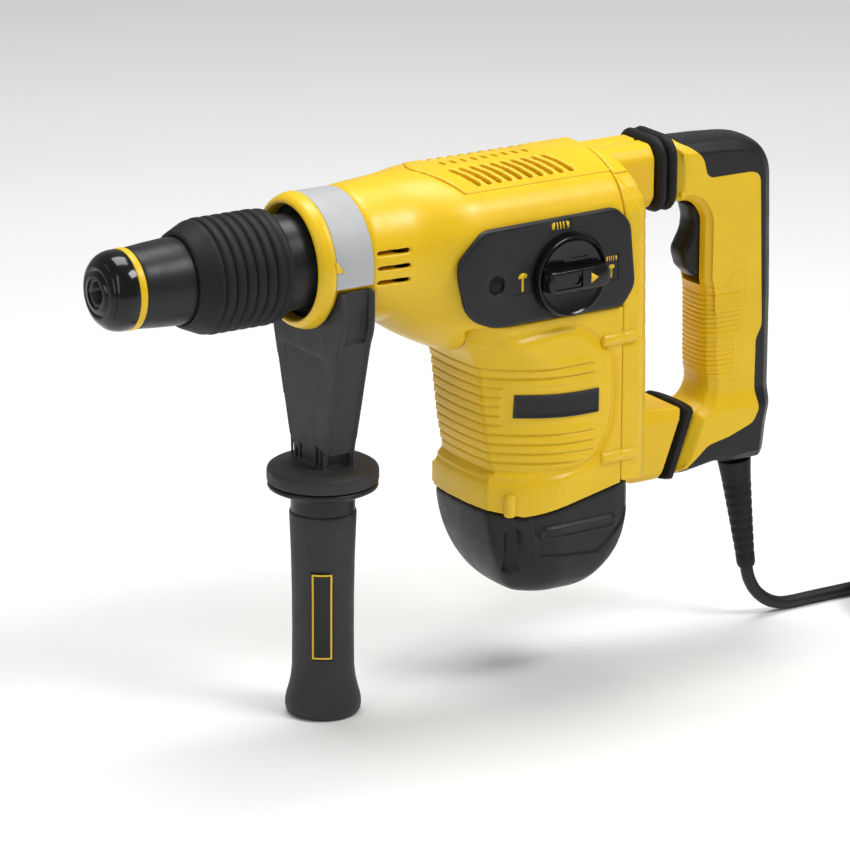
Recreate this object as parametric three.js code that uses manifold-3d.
// Rotary demolition hammer with a D-handle, a swinging side handle, its drive train and its cord.
// Millimetres, +X out of the nose along the tool axis, +Y the tool's left side, +Z up.
// The origin is on the tool axis at the mouth of the bit socket.
import * as THREE from 'three';
import { mergeVertices } from 'three/addons/utils/BufferGeometryUtils.js';
import Module from 'manifold-3d';

const wasm = await Module();
wasm.setup();

// Driving dimensions
const GAP = 0.3;                  // between touching pieces
const BIT_R = 9;                  // bore of the tool holder
const NOSE_R = 24.6;              // nose cap
const TUBE_R = 26.6;              // chuck tube where the release sleeve starts
const SLEEVE_R = 35.4;            // release sleeve
const NECK_R = 29.6;              // fixed front tube
const SPINDLE_R = 20;
const CYLINDER_R = 16.3;          // bore that the piston and the ram run in
const RAM_R = 16;
const COLLAR_R = 42.2;            // yellow ring in front of the clamp
const BARREL_R = 38.8;            // seat of the clamp
const STRAP_R = 41.7;
const STRAP_REAR = -168.1;
const SIDE_HANDLE_X = -156.9;
const FLANGE_R = 34.6;
const FLANGE_TOP = -131.9;
const GRIP_BOTTOM = -292;         // also the level that the cord lies on
const HALF_WIDTH = 54;            // of the gear and motor housings
const WALL = 3.5;
const SEAM_X = -341;              // rear face of the gear and motor housings
const SEAM_Z = -46;               // underside of the gear housing
const REAR_X = -366;              // rear face of the rear cover
const DIAL_X = -298;
const DIAL_Z = -19;
const MOTOR_X = -306;
const CRANK_X = -271;
const COUNTER_X = -221;
const CRANK_THROW = 13;
const CONROD_LENGTH = 52;
const GEAR_LOW = -40;             // the two spur gears and the motor pinion share these levels
const GEAR_HIGH = -33;
const MODULE = 5 / 3;
const PINION_TEETH = 6;
const CRANK_TEETH = 36;
const COUNTER_TEETH = 24;
const BEVEL_TEETH = 27;
const BEVEL_PINION_TEETH = 6;
const BEVEL_MODULE = 32 / 15;
const HANDLE_HALF = 17.5;
const STUB_Z = 21.5;               // axis of the upper stub, its spring and its bellows
const FLOAT_PIVOT = [-396, -155];  // x and z of the rear handle's pivot
const TRIGGER_PIVOT = [-432.5, -7.5];
const CORD_R = 4.2;
const COIL_R = 50.5;              // middle of the coil's turns
const COIL_COLUMNS = 3;
const COIL_LAYERS = 4;
const COIL_X = -610;
const GUARD_TOP = [-466.7, -180.7];
const GUARD_END = [-478.6, -256];

const YELLOW = { color: 0xf2bd0e, roughness: 0.42, metalness: 0 };
const BLACK = { color: 0x232426, roughness: 0.5, metalness: 0 };
const RUBBER = { color: 0x38393b, roughness: 0.75, metalness: 0 };
const DARK = { color: 0x34363a, roughness: 0.45, metalness: 0 };
const GREY = { color: 0xb9babc, roughness: 0.55, metalness: 0 };
const STEEL = { color: 0x8f9396, roughness: 0.35, metalness: 1 };
const COPPER = { color: 0xa8663a, roughness: 0.4, metalness: 1 };
const CARBON = { color: 0x2b2b2b, roughness: 0.8, metalness: 0 };

// Closed solids and booleans

function solid(geometry) {
  const bare = geometry.clone();
  for (const name of Object.keys(bare.attributes)) {
    if (name !== 'position') bare.deleteAttribute(name);
  }
  const merged = mergeVertices(bare, 1e-4);
  return new wasm.Manifold(new wasm.Mesh({
    numProp: 3,
    vertProperties: new Float32Array(merged.attributes.position.array),
    triVerts: new Uint32Array(merged.index.array),
  }));
}

function geometryOf(manifold) {
  const mesh = manifold.getMesh();
  const geometry = new THREE.BufferGeometry();
  geometry.setAttribute('position', new THREE.BufferAttribute(mesh.vertProperties, 3));
  geometry.setIndex(new THREE.BufferAttribute(mesh.triVerts, 1));
  return geometry;
}

const cut = (base, ...tools) => (
  geometryOf(tools.reduce((left, tool) => left.subtract(solid(tool)), solid(base)))
);
const join = (base, ...more) => geometryOf(more.reduce((sum, extra) => sum.add(solid(extra)), solid(base)));
const common = (base, ...more) => (
  geometryOf(more.reduce((rest, other) => rest.intersect(solid(other)), solid(base)))
);

// Turns the faces outwards where a mirrored or lathed shape came out inside out
function outward(geometry) {
  const { position } = geometry.attributes;
  const index = geometry.index ? [...geometry.index.array] : [...Array(position.count).keys()];
  const [a, b, c] = [new THREE.Vector3(), new THREE.Vector3(), new THREE.Vector3()];
  let volume = 0;
  for (let i = 0; i < index.length; i += 3) {
    a.fromBufferAttribute(position, index[i]);
    b.fromBufferAttribute(position, index[i + 1]);
    c.fromBufferAttribute(position, index[i + 2]);
    volume += a.dot(b.cross(c));
  }
  if (volume < 0) {
    for (let i = 0; i < index.length; i += 3) [index[i], index[i + 1]] = [index[i + 1], index[i]];
  }
  geometry.setIndex(index);
  return geometry;
}

// Basic shapes

const shapeOf = (points) => new THREE.Shape(points.map(([x, y]) => new THREE.Vector2(x, y)));

function extruded(points, depth, bevel = 0) {
  return new THREE.ExtrudeGeometry(shapeOf(points), {
    depth: depth - 2 * bevel,
    steps: 1,
    bevelEnabled: bevel > 0,
    bevelThickness: bevel,
    bevelSize: bevel,
    bevelOffset: -bevel,
    bevelSegments: 2,
  }).translate(0, 0, bevel);
}

// An outline in x and z, given its thickness along y
function side(points, yLow, yHigh, bevel = 0) {
  return extruded(points, yHigh - yLow, bevel).rotateX(Math.PI / 2).translate(0, yHigh, 0);
}

// An outline in x and y, given its height along z
const plan = (points, zLow, zHigh, bevel = 0) => (
  extruded(points, zHigh - zLow, bevel).translate(0, 0, zLow)
);

// An outline in y and z, given its length along x
function front(points, xLow, xHigh, bevel = 0) {
  const upright = extruded(points, xHigh - xLow, bevel).rotateX(Math.PI / 2);
  return upright.rotateZ(Math.PI / 2).translate(xLow, 0, 0);
}

// A block between two corners
function block([x0, y0, z0], [x1, y1, z1]) {
  const box = new THREE.BoxGeometry(x1 - x0, y1 - y0, z1 - z0);
  return box.translate((x0 + x1) / 2, (y0 + y1) / 2, (z0 + z1) / 2);
}

// Turned shapes. A profile lists [place along the axis, radius] and closes on itself or on the axis.
function turned(profile, sides) {
  const points = profile.map(([along, radius]) => new THREE.Vector2(radius, along));
  if (profile[0][1] > 0 || profile.at(-1)[1] > 0) points.push(points[0].clone());
  return outward(new THREE.LatheGeometry(points, sides));
}
const turnedX = (profile, sides = 24) => turned(profile, sides).rotateZ(-Math.PI / 2);
const turnedZ = (profile, sides = 18) => turned(profile, sides).rotateX(Math.PI / 2);
const ringX = (x0, x1, inner, outer, sides = 24) => (
  turnedX([[x0, inner], [x1, inner], [x1, outer], [x0, outer]], sides)
);
const ringZ = (z0, z1, inner, outer, sides = 20) => (
  turnedZ([[z0, inner], [z1, inner], [z1, outer], [z0, outer]], sides)
);
const rodX = (x0, x1, radius, sides = 20) => turnedX([[x0, 0], [x0, radius], [x1, radius], [x1, 0]], sides);
const rodZ = (z0, z1, radius, sides = 20) => turnedZ([[z0, 0], [z0, radius], [z1, radius], [z1, 0]], sides);
const rodY = (y0, y1, radius, sides = 20) => rodZ(-y1, -y0, radius, sides).rotateX(Math.PI / 2);

// A round arc of points about the origin, angles in degrees
function arc(radius, from, to, steps, centre = [0, 0]) {
  return Array.from({ length: steps + 1 }, (_, i) => {
    const angle = THREE.MathUtils.degToRad(from + (to - from) * i / steps);
    return [centre[0] + radius * Math.cos(angle), centre[1] + radius * Math.sin(angle)];
  });
}

// Half an outline in [place, half width], closed by its mirror image
const mirrored = (half) => [...half, ...half.map(([a, b]) => [a, -b]).reverse()];
const bothSides = (half) => [...half, ...half.map(([a, b]) => [-a, b]).reverse()];

// Moves every edge of an outline inwards by one distance
function inset(points, distance) {
  const area = points.reduce((sum, [x, y], i) => {
    const [nx, ny] = points[(i + 1) % points.length];
    return sum + x * ny - nx * y;
  }, 0);
  const turn = Math.sign(area);
  return points.map((point, i) => {
    const before = points[(i + points.length - 1) % points.length];
    const after = points[(i + 1) % points.length];
    const normal = (from, to) => {
      const length = Math.hypot(to[0] - from[0], to[1] - from[1]);
      return [-turn * (to[1] - from[1]) / length, turn * (to[0] - from[0]) / length];
    };
    const [n0, n1] = [normal(before, point), normal(point, after)];
    const scale = distance / Math.max(0.3, 1 + n0[0] * n1[0] + n0[1] * n1[1]);
    return [point[0] + (n0[0] + n1[0]) * scale, point[1] + (n0[1] + n1[1]) * scale];
  });
}

// Gear outline. The teeth stop just short of the mating gear's, so that a turn can't lock them.
function gearOutline(teeth, module) {
  const pitch = teeth * module / 2;
  const root = pitch - 2;
  const tip = pitch - 0.2;
  const points = [];
  for (let tooth = 0; tooth < teeth; tooth += 1) {
    for (const [share, radius] of [[0, root], [0.2, root], [0.35, tip], [0.85, tip]]) {
      const angle = 2 * Math.PI * (tooth + share) / teeth;
      points.push([radius * Math.cos(angle), radius * Math.sin(angle)]);
    }
  }
  return points;
}

// A round wire along a curve
function wire(curve, radius, steps, sides) {
  const section = shapeOf(arc(radius, 0, 360, sides).slice(0, -1));
  return new THREE.ExtrudeGeometry(section, { steps, extrudePath: curve });
}

class Helix extends THREE.Curve {
  constructor(radius, length, turns) {
    super();
    Object.assign(this, { radius, length, turns });
  }

  getPoint(t, target = new THREE.Vector3()) {
    const angle = 2 * Math.PI * this.turns * t;
    return target.set(this.length * t, this.radius * Math.cos(angle), this.radius * Math.sin(angle));
  }
}
function springX(radius, wireRadius, length, turns) {
  const helix = new Helix(radius, length - 2 * wireRadius, turns);
  return wire(helix, wireRadius, turns * 10, 5).translate(wireRadius, 0, 0);
}

const hammer = new THREE.Group();

function add(parent, name, geometry, finish, [x, y, z] = [0, 0, 0]) {
  const mesh = new THREE.Mesh(outward(geometry), new THREE.MeshStandardMaterial(finish));
  mesh.name = name;
  mesh.position.set(x, y, z);
  parent.add(mesh);
  return mesh;
}

function group(parent, x, y, z) {
  const made = new THREE.Group();
  made.position.set(x, y, z);
  parent.add(made);
  return made;
}

// Housing outlines

const TOP_ARC = [[54, 13], [48, 27], [38, 36.5], [22, 43.5], [0, 46.5]];
const GEAR_FRONT = bothSides([[30, -80], [44, -64], [54, SEAM_Z], ...TOP_ARC.slice(0, -1), [4, 46.4]]);
const GEAR_PLAN = mirrored([[-200, 42], [-214, 47], [-228, HALF_WIDTH], [SEAM_X, HALF_WIDTH]]);
const GEAR_SIDE = [
  [-200, 45], [-218, 46.5], [SEAM_X, 46.5], [SEAM_X, SEAM_Z], [-262, SEAM_Z], [-252, -80],
  [-246, -80], [-232, -71], [-212, -57], [-200, -49],
];
const MOTOR_PLAN = mirrored([
  [-251, 26], [-254, 30], [-266, 42], [-283, 51], [-300, HALF_WIDTH], [SEAM_X, HALF_WIDTH],
]);
const MOTOR_SIDE = [
  [SEAM_X, SEAM_Z - GAP], [-262.2, SEAM_Z - GAP], [-252.3, -80.4], [-253, -84], [-262, -146],
  [-256, -151], [-256, -171], [-275, -174.7], [SEAM_X, -160],
];
// Open above, below and behind
const MOTOR_CAVITY = [
  [SEAM_X - 5, SEAM_Z + 5], [-266, SEAM_Z + 5], [-255.8, -80.4], [-256.5, -84], [-265.5, -146],
  [-263.5, -151], [-263.5, -190], [SEAM_X - 5, -190],
];
const REAR_PLAN = mirrored([[SEAM_X - GAP, HALF_WIDTH], [-354, HALF_WIDTH], [REAR_X, 44]]);
const REAR_SIDE = [
  [SEAM_X - GAP, 46.4], [-350, 43], [-359, 15], [REAR_X, -107], [REAR_X, -160], [SEAM_X - GAP, -160],
];
const COVER_PLAN = mirrored([[-218, 4], [-235, 38], [SEAM_X, 38]]);
const PANEL = [
  [-236.5, 17], [-333, 18.5], [-344, 7.6], [-348, -33], [-339, -45.5], [-245, -45.5], [-231, -40],
  [-224, -32], [-218.5, -10], [-219, 0],
];

const SLOT_COUNT = 10;
const SLOT_PITCH = 8.6;

// What lies under the top arc, a given depth below it
const UNDER_COVER = (depth) => bothSides([[60, -90], ...inset(GEAR_FRONT, depth).slice(2, 8)]);

// Gear housing: a round barrel that carries the clamp, and the boxy case behind it
function gearHousing() {
  const barrel = turnedX([
    [-141.7, 0], [-141.7, BARREL_R], [-168.4, BARREL_R], [-168.4, 42.2], [-190, 44.5], [-214, 46.5],
    [-222, 46.5], [-222, 0],
  ]);
  const shell = common(side(GEAR_SIDE, -60, 60), plan(GEAR_PLAN, -90, 60), front(GEAR_FRONT, -345, -195));
  const cavity = common(
    side(inset(GEAR_SIDE, WALL), -60, 60),
    plan(inset(GEAR_PLAN, WALL), -90, 60),
    front(inset(GEAR_FRONT, WALL), -345, -190),
  );
  const coverSeat = cut(
    plan(COVER_PLAN.map(([x, y]) => [x === SEAM_X ? x - 1 : x, y]), 20, 60),
    front(UNDER_COVER(WALL - GAP), -350, -200),
  );
  const bores = [
    rodX(-190, -140, NECK_R + GAP, 24),
    turnedX([[-226, 0], [-226, 43], [-214, 43], [-186, 40.5], [-186, 0]]),
    rodZ(-60, -30, 8.3).translate(CRANK_X, 0, 0),
    rodZ(-60, -30, 7).translate(MOTOR_X, 0, 0),
    rodY(40, 60, 8.4).translate(DIAL_X, 0, DIAL_Z),
  ];
  return cut(join(shell, barrel), cavity, coverSeat, ...bores);
}

// Raised top cover with two rows of slanted cooling slots
function ventCover() {
  const seated = COVER_PLAN.map(([x, y]) => [x === SEAM_X ? x + GAP : x - GAP * 1.5, y - Math.sign(y) * GAP]);
  const outer = common(plan(seated, 20, 60), front(GEAR_FRONT, -345, -200));
  const inner = front(UNDER_COVER(WALL - 2 * GAP), -350, -200);
  const slots = [];
  for (let i = 0; i < SLOT_COUNT; i += 1) {
    for (const sign of [1, -1]) {
      const slot = block([-1.6, -8, 20], [1.6, 8, 60]).rotateZ(sign * -0.5);
      slots.push(slot.translate(-244 - i * SLOT_PITCH, sign * 23, 0));
    }
  }
  return cut(outer, inner, ...slots);
}

function motorHousing() {
  const shell = common(side(MOTOR_SIDE, -60, 60), plan(MOTOR_PLAN, -180, -40));
  const openBehind = inset(MOTOR_PLAN, WALL).map(([x, y]) => [x < -330 ? x - 10 : x, y]);
  const cavity = common(side(MOTOR_CAVITY, -60, 60), plan(openBehind, -200, -30));
  const ribs = [];
  for (let i = 0; i < 5; i += 1) {
    ribs.push(common(
      cut(plan(MOTOR_PLAN, -92 - i * 13, -90 - i * 13), plan(inset(MOTOR_PLAN, 1), -200, 0)),
      block([-325, -70, -160], [-240, 70, -80]),
    ));
  }
  return cut(shell, cavity, ...ribs);
}

// Rear cover with the two stubs that carry the rear handle
function rearCover() {
  const frontOutline = bothSides([[HALF_WIDTH, -200], ...TOP_ARC.slice(0, -1), [4, 46.4]]);
  const shell = common(side(REAR_SIDE, -60, 60), plan(REAR_PLAN, -200, 60), front(frontOutline, -370, -340));
  const upperStub = front(bothSides([[14, 1], [20.5, 8], [20.5, 35], [14, 42]]), -386, -350);
  const lowerStub = side([[-352, -124], [-410, -132], [-393, -177], [-370, -177], [-352, -157]], -22, 22);
  const cavity = common(
    side([[-330, 42], [-349, 39], [-355.5, 15], [-362.5, -107], [-362.5, -170], [-330, -170]], -50.5, 50.5),
    plan(mirrored([[-330, 50.5], [-353, 50.5], [-362.5, 42.5]]), -200, 60),
    front(inset(frontOutline, WALL), -370, -330),
  );
  const springPocket = rodX(-390, -374, 12).translate(0, 0, 21.5);
  const pivotPocket = side([[-378, -131], [-415, -136], [-415, -172], [-378, -172]], -18, 18);
  const pinHole = rodY(-30, 30, 4.3).translate(FLOAT_PIVOT[0], 0, FLOAT_PIVOT[1]);
  return cut(join(shell, upperStub, lowerStub), cavity, springPocket, pivotPocket, pinHole);
}

function bottomCap() {
  const outline = [
    [-256, -171.3], [-275, -175], [SEAM_X, -160.4], [-351, -160.4], [-353.5, -180], [-350, -204], [-338, -226],
    [-320, -236], [-292, -236], [-276, -224], [-263, -201], [-257, -182],
  ];
  const across = bothSides([[24, -236], [40, -226], [50, -206], [HALF_WIDTH, -180], [HALF_WIDTH, -150]]);
  const capPlan = mirrored([
    [-251, 26], [-254, 30], [-266, 42], [-283, 51], [-300, HALF_WIDTH], [-345, HALF_WIDTH], [-354, 48],
  ]);
  const shell = common(side(outline, -60, 60), front(across, -370, -240), plan(capPlan, -240, -150));
  const inner = outline.map(([x, z]) => [
    x < -300 ? x + WALL : x - WALL - 3,
    Math.max(z + (z > -190 ? 20 : WALL), -232.5),
  ]);
  const cavity = common(
    side(inner, -60, 60),
    front(inset(across, WALL).map(([y, z]) => [y, z > -160 ? -140 : z]), -370, -240),
    plan(inset(capPlan, WALL), -240, -130),
  );
  return cut(shell, cavity);
}

function panel(sign) {
  const [low, high] = sign > 0 ? [HALF_WIDTH + GAP, 57] : [-57, -HALF_WIDTH - GAP];
  const plate = side(PANEL, low, high, 1);
  return sign > 0 ? cut(plate, rodY(40, 60, 8.4).translate(DIAL_X, 0, DIAL_Z)) : plate;
}

// Mode selector: a disc with a finger bar, and its stub shaft into the gear housing
function modeDial() {
  const disc = turnedZ([[0, 0], [0, 24.8], [1, 25.4], [4.2, 25.4], [5.2, 24.4], [5.2, 0]], 24);
  const bar = plan([[-24, -7.5], [24, -7.5], [24, 7.5], [-24, 7.5]], 4, 12.5, 2);
  const shaft = rodZ(-12, 1, 8);
  const eccentric = rodZ(-17, -11, 2.5, 12).translate(4, 0, 0);
  return join(disc, bar, shaft, eccentric).rotateX(-Math.PI / 2);
}

function housing() {
  const root = group(hammer, 0, 0, 0);
  add(root, 'gear_housing', gearHousing(), YELLOW);
  add(root, 'vent_cover', ventCover(), YELLOW);
  add(root, 'motor_housing', motorHousing(), YELLOW);
  add(root, 'rear_cover', rearCover(), YELLOW);
  add(root, 'bottom_cap', bottomCap(), BLACK);
  add(root, 'left_panel', panel(1), DARK);
  add(root, 'right_panel', panel(-1), DARK);
  add(root, 'collar_ring', turnedX([
    [-131.5, 35.5], [-131.5, 37.5], [-134, 40.4], [-137, 41.8], [-141.4, COLLAR_R], [-141.4, 34.5],
    [-133, 34.5],
  ], 28), YELLOW);
  add(root, 'front_tube', turnedX([
    [-117.6, 24.5], [-117.6, NECK_R], [-186, NECK_R], [-186, 24.5],
  ]), BLACK);
}

// Tool holder and impact mechanism

function spindle() {
  const tube = turnedX([
    [-6.3, BIT_R], [-6.3, 16.8], [-118, 16.8], [-120, SPINDLE_R], [-238, SPINDLE_R], [-238, CYLINDER_R],
    [-137, CYLINDER_R], [-135, 13], [-95, 13], [-93, BIT_R],
  ]);
  const slot = block([-81, -3.4, 8.4], [-59, 3.4, 18]);
  return cut(tube, slot, slot.clone().rotateX(Math.PI));
}

function chuck() {
  add(hammer, 'nose_cap', turnedX([
    [0, 9.4], [0, 15.5], [-1.5, 19], [-4.5, 22], [-9, 23.9], [-13, NOSE_R], [-17.3, NOSE_R], [-17.3, 17.1],
    [-6, 17.1], [-6, 9.4],
  ]), BLACK);
  add(hammer, 'nose_ring', ringX(-22.2, -17.6, 17.1, 24.9), YELLOW);
  add(hammer, 'chuck_tube', turnedX([
    [-22.5, 17.1], [-22.5, 24.8], [-50, TUBE_R], [-66, TUBE_R], [-68, 24.6], [-112.5, 24.6], [-112.5, 29.8],
    [-115, 29.8], [-115, 17.1],
  ]), BLACK);
  const outer = [[-51.6, 27.8], [-60, 30.5], [-66, 34], [-70, SLEEVE_R]];
  for (let rib = 0; rib < 5; rib += 1) {
    const x = -76 - rib * 8;
    outer.push([x, SLEEVE_R], [x - 1.5, 33.9], [x - 3, SLEEVE_R]);
  }
  add(hammer, 'release_sleeve', turnedX([
    ...outer, [-116, SLEEVE_R], [-117.3, 34.6], [-117.3, 30.2], [-70.2, 30.2], [-70.2, 27.1], [-51.6, 27.1],
  ]), BLACK);
  add(hammer, 'chuck_spring', springX(27.9, 1.1, 41.7, 4), STEEL, [-112.2, 0, 0]);
  add(hammer, 'spindle', spindle(), STEEL);
  add(hammer, 'lock_roller_upper', rodX(-80, -60, 3.1, 14), STEEL, [0, 0, 12]);
  add(hammer, 'lock_roller_lower', rodX(-80, -60, 3.1, 14), STEEL, [0, 0, -12]);
  add(hammer, 'front_bearing', ringX(-134, -122, SPINDLE_R + GAP, 24.2), STEEL);
  add(hammer, 'rear_bushing', ringX(-182, -168, SPINDLE_R + GAP, 24.2), COPPER);
}

function impact() {
  add(hammer, 'beat_piece', turnedX([
    [-92, 0], [-92, 8.6], [-100, 8.6], [-101, 12.7], [-121, 12.7], [-122, 11], [-122, 0],
  ]), STEEL);
  add(hammer, 'ram', turnedX([
    [-142, 0], [-142, 11], [-143, RAM_R], [-171, RAM_R], [-172, 14], [-172, 0],
  ]), STEEL);
  const wristX = CRANK_X - CRANK_THROW + CONROD_LENGTH;
  const piston = turnedX([
    [-205, 0], [-205, 14.5], [-206, RAM_R], [-242, RAM_R], [-242, 12.5], [-213, 12.5], [-211, 0],
  ]);
  add(hammer, 'piston', cut(piston, rodZ(-20, 20, 4.3).translate(wristX, 0, 0)), STEEL);
  add(hammer, 'wrist_pin', rodZ(-14.5, 14.5, 4), STEEL, [wristX, 0, 0]);
  const rod = join(
    block([-CONROD_LENGTH, -4, -4], [0, 4, 4]),
    rodZ(-4, 4, 8),
    rodZ(-4, 4, 9.5).translate(-CONROD_LENGTH, 0, 0),
  );
  add(hammer, 'conrod', cut(
    rod,
    rodZ(-5, 5, 4.3),
    rodZ(-5, 5, 5.4).translate(-CONROD_LENGTH, 0, 0),
  ), STEEL, [wristX, 0, 0]);
}

// Gear train: motor pinion, crank gear, countershaft, bevel gear on the spindle
function gears() {
  const crank = join(
    plan(gearOutline(CRANK_TEETH, MODULE), GEAR_LOW, GEAR_HIGH),
    rodZ(SEAM_Z, GEAR_LOW + 1, 8),
    rodZ(GEAR_HIGH - 1, -14, 18),
    rodZ(-15, -4.5, 5).translate(-CRANK_THROW, 0, 0),
  );
  add(hammer, 'crank_gear', crank, STEEL, [CRANK_X, 0, 0]);
  const counter = join(
    plan(gearOutline(COUNTER_TEETH, MODULE), GEAR_LOW, GEAR_HIGH),
    rodZ(SEAM_Z, GEAR_LOW + 1, 5),
    rodZ(GEAR_HIGH - 1, -31, 5),
    plan(gearOutline(BEVEL_PINION_TEETH, BEVEL_MODULE), -32, -23.5),
  );
  add(hammer, 'countershaft', counter, STEEL, [COUNTER_X, 0, 0]);
  const bevelX = COUNTER_X + BEVEL_PINION_TEETH * BEVEL_MODULE / 2;
  const bevel = common(
    front(gearOutline(BEVEL_TEETH, BEVEL_MODULE), 0, 8),
    turnedX([[0, 0], [0, 27], [2.5, 30], [8, 30], [8, 0]]),
  );
  add(hammer, 'spindle_gear', cut(bevel, rodX(-1, 9, SPINDLE_R + GAP, 40)), STEEL, [bevelX + 0.1, 0, 0]);
}

function motor() {
  const axis = group(hammer, MOTOR_X, 0, 0);
  add(axis, 'armature_shaft', join(
    rodZ(-214, GEAR_LOW - 1, 4.5),
    plan(gearOutline(PINION_TEETH, MODULE), GEAR_LOW - 2, GEAR_HIGH),
  ), STEEL);
  add(axis, 'upper_bearing', ringZ(-76, -66, 4.8, 13), STEEL);
  const blades = Array.from({ length: 7 }, (_, i) => (
    block([12, -1, -97], [37, 1, -84]).rotateZ(2 * Math.PI * i / 7)
  ));
  add(axis, 'fan', join(ringZ(-86, -83, 4.8, 38, 28), ringZ(-97, -83.5, 4.8, 13), ...blades), BLACK);
  const slotted = [];
  for (let i = 0; i < 12; i += 1) {
    slotted.push(...arc(24.2, i * 30 + 3, i * 30 + 27, 2), ...arc(20.5, i * 30 + 27, i * 30 + 33, 1));
  }
  add(axis, 'armature_core', cut(plan(slotted, -150, -102), rodZ(-200, -90, 4.8)), STEEL);
  add(axis, 'commutator', ringZ(-190, -168, 4.8, 14), COPPER);
  add(axis, 'lower_bearing', ringZ(-214, -204, 4.8, 11), STEEL);
  const field = cut(rodZ(-150, -102, 40.5, 28), rodZ(-160, -90, 25, 28));
  add(axis, 'stator', field, COPPER);
  for (const [name, s] of [['left', 1], ['right', -1]]) {
    const box = s > 0 ? [15, 36] : [-36, -15];
    const carbon = s > 0 ? [14.3, 30] : [-30, -14.3];
    const holder = block([-6.5, box[0], -186], [6.5, box[1], -172]);
    const hole = block([-4.3, s > 0 ? 10 : -31, -184.3], [4.3, s > 0 ? 31 : -10, -173.7]);
    add(axis, `brush_holder_${name}`, cut(holder, hole), COPPER);
    add(axis, `brush_${name}`, block([-4, carbon[0], -184], [4, carbon[1], -174]), CARBON);
  }
}

// Side handle: the strap and yoke clamp the barrel and swing about the tool axis
function sideHandle() {
  const strap = front([
    ...arc(STRAP_R, -13, 193, 24),
    ...arc(BARREL_R + GAP, 193, -13, 24),
  ], STRAP_REAR, -141.7);
  add(hammer, 'clamp_strap', strap, GREY);
  const outline = bothSides([
    [10, FLANGE_TOP - 2], [18, FLANGE_TOP - 2], [20.3, -118], [38.4, -48], [43.5, -36], [43.5, -12],
  ]);
  const yoke = common(
    front(outline, -168.2, -144),
    side([[-168.2, -8], [-144, -8], [-144, -50], [-146.6, -134], [-167.2, -134], [-168.2, -50]], -50, 50),
  );
  const bore = rodZ(-150, -56, 4.4).translate(SIDE_HANDLE_X, 0, 0);
  const disc = rodZ(FLANGE_TOP - 9.9, FLANGE_TOP, FLANGE_R, 32).translate(SIDE_HANDLE_X, 0, 0);
  add(hammer, 'clamp_yoke', cut(join(yoke, disc), rodX(-180, -140, BARREL_R + GAP, 40), bore), DARK);
  const grip = group(hammer, SIDE_HANDLE_X, 0, 0);
  add(grip, 'clamp_bolt', rodZ(-176, -58, 4, 16), STEEL);
  const core = turnedZ([
    [-142.1, 0], [-142.1, 33], [-143.5, 34.2], [-145.5, 34.2], [-147, 31], [-149, 21], [-152, 20],
    [-160.5, 20], [-160.5, 15], [-286, 15], [-286, 0],
  ], 20);
  add(grip, 'grip_core', cut(core, rodZ(-180, -140, 4.4, 16)), DARK);
  add(grip, 'grip_sleeve', turnedZ([
    [GRIP_BOTTOM, 0], [GRIP_BOTTOM, 21.5], [-289, 23.6], [-282, 23.6], [-272, 20.8], [-262, 19.3],
    [-215, 19.2], [-170, 20.4], [-160.8, 20.2], [-160.8, 15.3], [-287, 15.3], [-287, 0],
  ], 20), RUBBER);
}

// Rear handle: two shells, a black spine, the trigger and its switch

const HANDLE = [
  [-403.3, 38], [-406, 40], [-410, 39], [-426, 27], [-428.5, 17], [-432, 14.5], [-463, 14.3], [-470, 8.5],
  [-473.5, -88], [-469, -97], [-468.7, -130], [-470.4, -143], [-466, -151], [-431, -161], [-424, -167],
  [-409, -178], [-405.5, -177], [-421.5, -137.5], [-429, -134], [-433, -124], [-431, -112], [-430, -60],
  [-428, -53], [-428, -12], [-419, -1], [-403.3, -0.5],
];
const SPINE = [
  [-410.5, 40.3], [-454, 38], [-468, 34], [-478, 25], [-482, 12], [-484, -66], [-484, -143], [-481.5, -154],
  [-479.5, -172], [-476, -178.5], [-454, -178.5], [-440, -176], [-424, -178.5], [-412, -180], [-409, -178.6],
  [-424.2, -167.6], [-431.2, -161.5], [-466.3, -151.5], [-471, -143.2], [-469.3, -130], [-469.6, -97.2],
  [-474.2, -88.2], [-470.6, 8.8], [-463.2, 14.9], [-432.2, 15.1], [-429.2, 17.3], [-426.6, 27.4],
];

function handleShell(sign) {
  const body = side(HANDLE, -HANDLE_HALF, HANDLE_HALF);
  const [inner, outer] = sign > 0 ? [GAP / 2, 40] : [-40, -GAP / 2];
  const half = block([-500, inner, -200], [-380, outer, 60]);
  const tongue = side([
    [-430, -139], [-398, -147], [-389, -150], [-388, -160], [-397, -163], [-412, -163], [-426, -158],
  ], -7, 7);
  const pinHole = rodY(-40, 40, 4.4).translate(FLOAT_PIVOT[0], 0, FLOAT_PIVOT[1]);
  const triggerPocket = block([-447.5, -9.8, -57], [-415, 9.8, 1.5]);
  const switchPocket = block([-464.3, -11.3, -62], [-447, 11.3, 6]);
  const trunnionHole = rodY(-13.3, 13.3, 2.3, 12).translate(TRIGGER_PIVOT[0], 0, TRIGGER_PIVOT[1]);
  return cut(common(join(body, tongue), half), pinHole, triggerPocket, switchPocket, trunnionHole);
}

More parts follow.
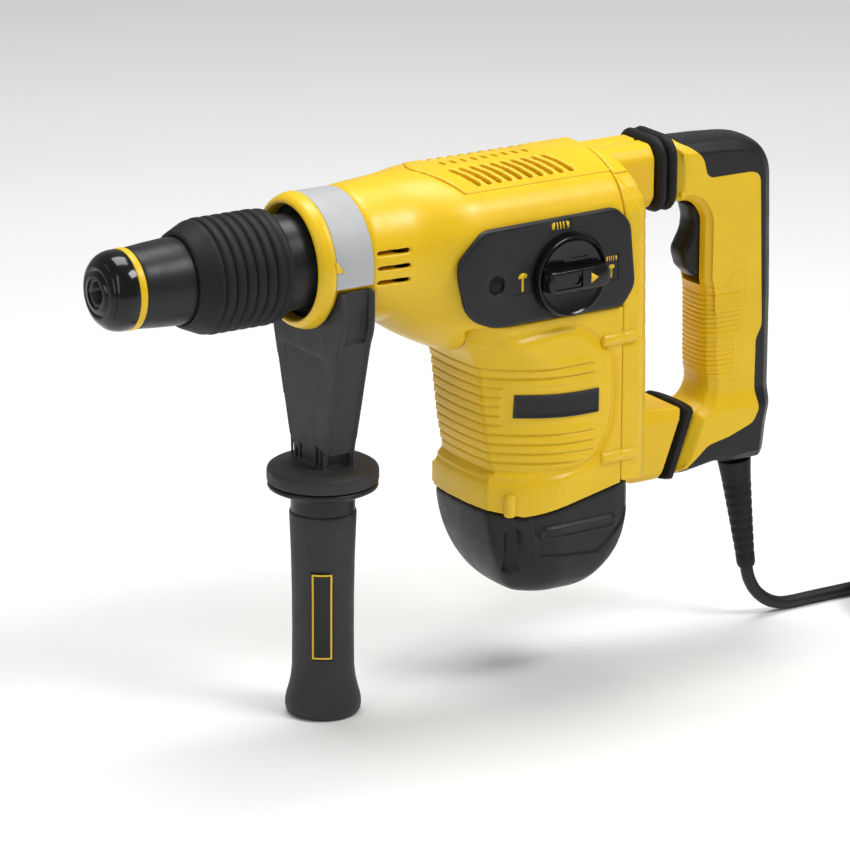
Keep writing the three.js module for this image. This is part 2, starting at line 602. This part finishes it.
function rearHandle() {
  add(hammer, 'handle_shell_left', handleShell(1), YELLOW);
  add(hammer, 'handle_shell_right', handleShell(-1), YELLOW);
  add(hammer, 'handle_spine', side(SPINE, -16.5, 16.5), DARK);
  add(hammer, 'float_pin', rodY(-22, 22, 4, 16), STEEL, [FLOAT_PIVOT[0], 0, FLOAT_PIVOT[1]]);
  const ridge = (half) => bothSides([
    [half - 8, STUB_Z - half], [half, STUB_Z - half + 8], [half, STUB_Z + half - 8], [half - 8, STUB_Z + half],
  ]);
  const sleeve = join(
    front(ridge(24.5), -393.5, -386.8),
    front(ridge(21), -396, -392),
    front(ridge(24.5), -402.6, -395.4),
  );
  add(hammer, 'upper_bellows', cut(sleeve, rodX(-410, -380, 13).translate(0, 0, STUB_Z)), RUBBER);
  add(hammer, 'damper_spring', springX(8.5, 1.3, 26, 4), STEEL, [-401, 0, STUB_Z]);
  const band = side([[-410.8, -130], [-421, -133.5], [-403.8, -180.5], [-393.8, -178]], -24, 24, 2);
  const passage = side([[-380, -137], [-430, -137], [-430, -168], [-380, -168]], -9, 9);
  add(hammer, 'lower_bellows', cut(band, passage), RUBBER);
  const [pivotX, pivotZ] = TRIGGER_PIVOT;
  const trigger = side([
    [-422, -4], [-424, -20], [-417, -35], [-420, -46], [-428, -53], [-436.8, -54], [-436.8, -6], [-429, -2.5],
  ].map(([x, z]) => [x - pivotX, z - pivotZ]), -9, 9, 1.5);
  add(hammer, 'trigger', join(trigger, rodY(-13, 13, 2, 12)), BLACK, [pivotX, 0, pivotZ]);
  add(hammer, 'trigger_spring', springX(3, 0.6, 9.8, 4), STEEL, [-447, 0, -42]);
  add(hammer, 'switch_body', block([-464, -11, -61.5], [-447.7, 11, 5.5]), BLACK);
}

// Cord: guard, lead down to the ground, coil with a tie, and the plug

const COIL_Y = COIL_R + CORD_R * (COIL_COLUMNS - 1);   // the lead meets the outer turn on a tangent
const COIL_IN = COIL_R - CORD_R * COIL_COLUMNS;
const COIL_OUT = COIL_R + CORD_R * COIL_COLUMNS;
const COIL_TOP = GRIP_BOTTOM + 2 * CORD_R * COIL_LAYERS;

function cordGuard() {
  const tilt = Math.atan2(GUARD_TOP[0] - GUARD_END[0], GUARD_TOP[1] - GUARD_END[1]);
  const length = Math.hypot(GUARD_END[0] - GUARD_TOP[0], GUARD_END[1] - GUARD_TOP[1]);
  const cone = turnedZ([[-length, 0], [-length, 5.7], [-length * 0.6, 7.6], [-8, 10.6], [0, 11], [0, 0]]);
  return cone.rotateY(tilt);
}

// The lead drops out of the guard, bends once onto the ground and runs back to the coil's outer turn.
// Each point is [x, z] at y 0.
const LEAD_ROUTE = [
  [-478.6, -256.3], [-478.9, -258], [-480.4, -264], [-483, -269.7], [-486.5, -274.9], [-490.9, -279.3],
  [-495.9, -282.9], [-501.6, -285.6], [-507.6, -287.2], [-513.8, -287.8], [-529.4, -287.8], [-544.5, -287.8],
  [-561, -287.8], [-577.6, -287.8],
];

// The tail leaves the coil's top outer turn and drops to the plug on the ground
const TAIL_ROUTE = [
  [-642.4, -262.6], [-650.8, -263.5], [-659.3, -265.8], [-667.7, -269], [-676.2, -272.7], [-684.6, -276.4],
  [-693.1, -279.6], [-701.5, -281.9], [-710, -282.8], [-713, -282.8], [-715.7, -282.8],
];
const PLUG_X = -716;
const PLUG_R = 9.2;
const PLUG_Z = GRIP_BOTTOM + PLUG_R;

const alongRoute = (route) => (
  new THREE.CatmullRomCurve3(route.map(([x, z]) => new THREE.Vector3(x, 0, z)), false, 'centripetal')
);

function plug() {
  const body = turnedX([
    [0, 0], [0, 5.6], [-14, 7.5], [-16, 9], [-30, PLUG_R], [-42, PLUG_R], [-43, 8.5], [-43, 0],
  ], 20);
  const pins = [1, -1].map((s) => rodX(-62, -42, 2.4, 12).translate(0, s * 6, 0));
  return join(body, ...pins);
}

function cord() {
  add(hammer, 'cord_guard', cordGuard(), RUBBER, [GUARD_TOP[0], 0, GUARD_TOP[1]]);
  add(hammer, 'cord_lead', wire(alongRoute(LEAD_ROUTE), CORD_R, 16, 10), BLACK);
  const ring = ringZ(GRIP_BOTTOM, COIL_TOP, COIL_IN, COIL_OUT, 36);
  add(hammer, 'cord_coil', ring, BLACK, [COIL_X, COIL_Y, 0]);
  const tie = cut(
    block([-5, COIL_IN - 2, GRIP_BOTTOM], [5, COIL_OUT + 2, COIL_TOP + 2]),
    ringZ(GRIP_BOTTOM - 1, COIL_TOP + GAP, COIL_IN - GAP, COIL_OUT + GAP, 40),
  );
  add(hammer, 'cord_tie', tie, RUBBER, [COIL_X, COIL_Y, 0]);
  add(hammer, 'cord_tail', wire(alongRoute(TAIL_ROUTE), CORD_R, 14, 10), BLACK);
  add(hammer, 'plug', plug(), BLACK, [PLUG_X, 0, PLUG_Z]);
}

housing();
chuck();
impact();
gears();
motor();
add(hammer, 'mode_dial', modeDial(), BLACK, [DIAL_X, 57.3, DIAL_Z]);
sideHandle();
rearHandle();
cord();

export default hammer;
